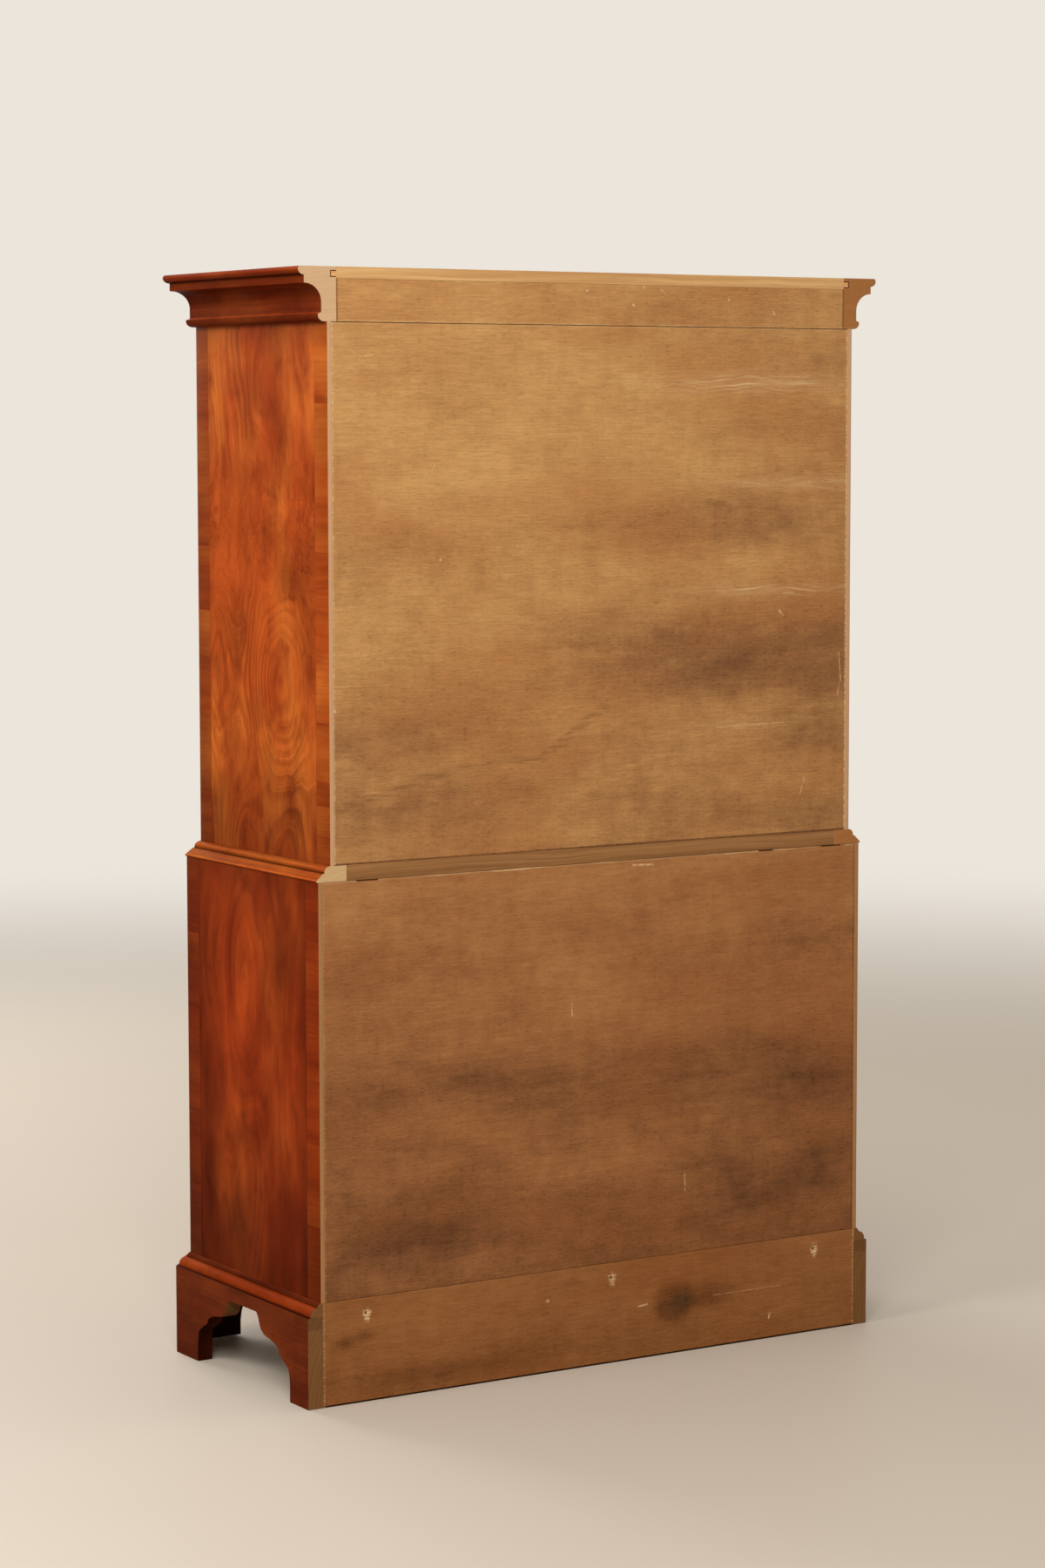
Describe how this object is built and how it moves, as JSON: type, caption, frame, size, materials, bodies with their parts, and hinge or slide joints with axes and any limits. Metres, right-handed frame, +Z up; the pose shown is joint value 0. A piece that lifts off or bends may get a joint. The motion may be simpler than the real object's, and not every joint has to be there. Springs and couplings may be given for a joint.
{
  "type": "chest on chest",
  "caption": "Tall chest of drawers in two stacked cases, with canted corners, a coved cornice, a moulded waist and a bracket base; drawers slide and bail handles swing.",
  "frame": {"origin": "on the floor, under the middle of the chest's overall box", "axes": "+Z up, the drawers face -Y, the flat back faces +Y, +X to the right of someone who stands in front"},
  "size_m": [1.118, 0.528, 1.803],
  "materials": {
    "case_veneer": "glossy figured reddish brown veneer with crossbanded edges",
    "corner_veneer": "glossy reddish brown wood, a little darker",
    "drawer_veneer": "glossy figured reddish brown veneer with a crossbanded edge and a cock bead",
    "back_plywood": "stained tan plywood with blotches and scratches, satin",
    "dark_back_plywood": "stained darker brown plywood, satin",
    "inner_wood": "pale unfinished wood",
    "drawer_wood": "pale sealed wood",
    "brass": "polished and slightly worn"
  },
  "bodies": {
    "carcase": {"plinth_left": "corner_veneer", "plinth_right": "corner_veneer", "plinth_front": "corner_veneer", "plinth_back": "dark_back_plywood", "base_frame": "case_veneer", "waist_frame": "case_veneer", "waist_back_rail": "dark_back_plywood", "cornice": "case_veneer", "top_board": "inner_wood", "cornice_back_rail": "back_plywood", "upper_divider": "inner_wood", "lower_left_side": "case_veneer", "lower_right_side": "case_veneer", "lower_left_post": "corner_veneer", "lower_right_post": "corner_veneer", "lower_back": "dark_back_plywood", "lower_bottom": "inner_wood", "lower_dust_board_1": "inner_wood", "lower_dust_board_2": "inner_wood", "lower_top": "inner_wood", "upper_left_side": "case_veneer", "upper_right_side": "case_veneer", "upper_left_post": "corner_veneer", "upper_right_post": "corner_veneer", "upper_back": "back_plywood", "upper_bottom": "inner_wood", "upper_dust_board_1": "inner_wood", "upper_dust_board_2": "inner_wood", "upper_dust_board_3": "inner_wood", "upper_top": "inner_wood"},
    "lower_drawer_1": {"lower_drawer_1_front": "drawer_veneer", "lower_drawer_1_box": "drawer_wood"},
    "lower_drawer_1_left_bail": {"lower_drawer_1_left_bail": "brass"},
    "lower_drawer_1_right_bail": {"lower_drawer_1_right_bail": "brass"},
    "lower_drawer_2": {"lower_drawer_2_front": "drawer_veneer", "lower_drawer_2_box": "drawer_wood"},
    "lower_drawer_2_left_bail": {"lower_drawer_2_left_bail": "brass"},
    "lower_drawer_2_right_bail": {"lower_drawer_2_right_bail": "brass"},
    "lower_drawer_3": {"lower_drawer_3_front": "drawer_veneer", "lower_drawer_3_box": "drawer_wood"},
    "lower_drawer_3_left_bail": {"lower_drawer_3_left_bail": "brass"},
    "lower_drawer_3_right_bail": {"lower_drawer_3_right_bail": "brass"},
    "upper_drawer_1": {"upper_drawer_1_front": "drawer_veneer", "upper_drawer_1_box": "drawer_wood"},
    "upper_drawer_1_left_bail": {"upper_drawer_1_left_bail": "brass"},
    "upper_drawer_1_right_bail": {"upper_drawer_1_right_bail": "brass"},
    "upper_drawer_2": {"upper_drawer_2_front": "drawer_veneer", "upper_drawer_2_box": "drawer_wood"},
    "upper_drawer_2_left_bail": {"upper_drawer_2_left_bail": "brass"},
    "upper_drawer_2_right_bail": {"upper_drawer_2_right_bail": "brass"},
    "upper_drawer_3": {"upper_drawer_3_front": "drawer_veneer", "upper_drawer_3_box": "drawer_wood"},
    "upper_drawer_3_left_bail": {"upper_drawer_3_left_bail": "brass"},
    "upper_drawer_3_right_bail": {"upper_drawer_3_right_bail": "brass"},
    "short_drawer_left": {"short_drawer_left_front": "drawer_veneer", "short_drawer_left_box": "drawer_wood"},
    "short_drawer_left_bail": {"short_drawer_left_bail": "brass"},
    "short_drawer_right": {"short_drawer_right_front": "drawer_veneer", "short_drawer_right_box": "drawer_wood"},
    "short_drawer_right_bail": {"short_drawer_right_bail": "brass"}
  },
  "joints": [
    {"name": "lower_drawer_1_slide", "type": "slide", "parent": "carcase", "child": "lower_drawer_1", "axis": [0, -1, 0], "range_m": [0, 0.36]},
    {"name": "lower_drawer_1_left_bail_hinge", "type": "hinge", "parent": "lower_drawer_1", "child": "lower_drawer_1_left_bail", "pos_m": [-0.27031, -0.251, 0.3101], "axis": [-1, 0, 0], "range_deg": [-15, 90]},
    {"name": "lower_drawer_1_right_bail_hinge", "type": "hinge", "parent": "lower_drawer_1", "child": "lower_drawer_1_right_bail", "pos_m": [0.27031, -0.251, 0.3101], "axis": [-1, 0, 0], "range_deg": [-15, 90]},
    {"name": "lower_drawer_2_slide", "type": "slide", "parent": "carcase", "child": "lower_drawer_2", "axis": [0, -1, 0], "range_m": [0, 0.36]},
    {"name": "lower_drawer_2_left_bail_hinge", "type": "hinge", "parent": "lower_drawer_2", "child": "lower_drawer_2_left_bail", "pos_m": [-0.27031, -0.251, 0.53855], "axis": [-1, 0, 0], "range_deg": [-15, 90]},
    {"name": "lower_drawer_2_right_bail_hinge", "type": "hinge", "parent": "lower_drawer_2", "child": "lower_drawer_2_right_bail", "pos_m": [0.27031, -0.251, 0.53855], "axis": [-1, 0, 0], "range_deg": [-15, 90]},
    {"name": "lower_drawer_3_slide", "type": "slide", "parent": "carcase", "child": "lower_drawer_3", "axis": [0, -1, 0], "range_m": [0, 0.36]},
    {"name": "lower_drawer_3_left_bail_hinge", "type": "hinge", "parent": "lower_drawer_3", "child": "lower_drawer_3_left_bail", "pos_m": [-0.27031, -0.251, 0.74435], "axis": [-1, 0, 0], "range_deg": [-15, 90]},
    {"name": "lower_drawer_3_right_bail_hinge", "type": "hinge", "parent": "lower_drawer_3", "child": "lower_drawer_3_right_bail", "pos_m": [0.27031, -0.251, 0.74435], "axis": [-1, 0, 0], "range_deg": [-15, 90]},
    {"name": "upper_drawer_1_slide", "type": "slide", "parent": "carcase", "child": "upper_drawer_1", "axis": [0, -1, 0], "range_m": [0, 0.34]},
    {"name": "upper_drawer_1_left_bail_hinge", "type": "hinge", "parent": "upper_drawer_1", "child": "upper_drawer_1_left_bail", "pos_m": [-0.26508, -0.229, 1.00847], "axis": [-1, 0, 0], "range_deg": [-15, 90]},
    {"name": "upper_drawer_1_right_bail_hinge", "type": "hinge", "parent": "upper_drawer_1", "child": "upper_drawer_1_right_bail", "pos_m": [0.26508, -0.229, 1.00847], "axis": [-1, 0, 0], "range_deg": [-15, 90]},
    {"name": "upper_drawer_2_slide", "type": "slide", "parent": "carcase", "child": "upper_drawer_2", "axis": [0, -1, 0], "range_m": [0, 0.34]},
    {"name": "upper_drawer_2_left_bail_hinge", "type": "hinge", "parent": "upper_drawer_2", "child": "upper_drawer_2_left_bail", "pos_m": [-0.26508, -0.229, 1.2405], "axis": [-1, 0, 0], "range_deg": [-15, 90]},
    {"name": "upper_drawer_2_right_bail_hinge", "type": "hinge", "parent": "upper_drawer_2", "child": "upper_drawer_2_right_bail", "pos_m": [0.26508, -0.229, 1.2405], "axis": [-1, 0, 0], "range_deg": [-15, 90]},
    {"name": "upper_drawer_3_slide", "type": "slide", "parent": "carcase", "child": "upper_drawer_3", "axis": [0, -1, 0], "range_m": [0, 0.34]},
    {"name": "upper_drawer_3_left_bail_hinge", "type": "hinge", "parent": "upper_drawer_3", "child": "upper_drawer_3_left_bail", "pos_m": [-0.26508, -0.229, 1.44932], "axis": [-1, 0, 0], "range_deg": [-15, 90]},
    {"name": "upper_drawer_3_right_bail_hinge", "type": "hinge", "parent": "upper_drawer_3", "child": "upper_drawer_3_right_bail", "pos_m": [0.26508, -0.229, 1.44932], "axis": [-1, 0, 0], "range_deg": [-15, 90]},
    {"name": "short_drawer_left_slide", "type": "slide", "parent": "carcase", "child": "short_drawer_left", "axis": [0, -1, 0], "range_m": [0, 0.34]},
    {"name": "short_drawer_left_bail_hinge", "type": "hinge", "parent": "short_drawer_left", "child": "short_drawer_left_bail", "pos_m": [-0.235, -0.229, 1.63151], "axis": [-1, 0, 0], "range_deg": [-15, 90]},
    {"name": "short_drawer_right_slide", "type": "slide", "parent": "carcase", "child": "short_drawer_right", "axis": [0, -1, 0], "range_m": [0, 0.34]},
    {"name": "short_drawer_right_bail_hinge", "type": "hinge", "parent": "short_drawer_right", "child": "short_drawer_right_bail", "pos_m": [0.235, -0.229, 1.63151], "axis": [-1, 0, 0], "range_deg": [-15, 90]}
  ]
}
